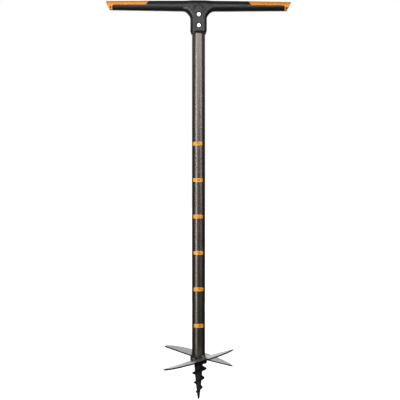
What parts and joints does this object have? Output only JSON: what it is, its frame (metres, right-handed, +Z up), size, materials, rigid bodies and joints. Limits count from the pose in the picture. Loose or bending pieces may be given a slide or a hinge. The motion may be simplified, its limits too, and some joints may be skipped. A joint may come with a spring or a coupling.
{
  "type": "post hole digger",
  "caption": "T-handled hand auger: a steel tube with a moulded cross handle, two tilted flat blades and a screw point, with depth marks up the tube.",
  "frame": {"origin": "tip of the screw point, on the axis of the shaft", "axes": "+Z up the shaft to the handle, +X along the bar to the right, -Y the front, where the depth marks are read"},
  "size_m": [0.5098, 0.2, 1.098],
  "materials": {
    "graphite_paint": "metallic graphite paint, satin",
    "orange_label": "printed vinyl label, satin",
    "black_nylon": "moulded glass-filled nylon, fine grain",
    "orange_grip": "moulded soft grip, matt",
    "zinc_steel": "bright zinc plate",
    "black_steel": "black oxide",
    "black_casting": "black painted casting",
    "blade_steel": "satin ground steel plate"
  },
  "bodies": {
    "root": {"shaft_tube": "graphite_paint", "tube_plug": "black_nylon", "handle_body": "black_nylon", "depth_mark_20": "orange_label", "depth_mark_30": "orange_label", "depth_mark_40": "orange_label", "depth_mark_50": "orange_label", "depth_mark_60": "orange_label", "depth_mark_70": "orange_label", "end_pad_left": "orange_grip", "end_pad_right": "orange_grip", "handle_bolt_upper": "zinc_steel", "handle_washer_upper": "zinc_steel", "handle_nut_upper": "zinc_steel", "handle_bolt_lower": "zinc_steel", "handle_washer_lower": "zinc_steel", "handle_nut_lower": "zinc_steel", "blade_hub": "black_casting", "point_screw": "black_casting", "cross_pin": "black_steel", "blade_front": "blade_steel", "blade_bolt_front_left": "black_steel", "blade_washer_front_left": "black_steel", "blade_bolt_front_right": "black_steel", "blade_washer_front_right": "black_steel", "blade_rear": "blade_steel", "blade_bolt_rear_left": "black_steel", "blade_washer_rear_left": "black_steel", "blade_bolt_rear_right": "black_steel", "blade_washer_rear_right": "black_steel"}
  },
  "joints": []
}
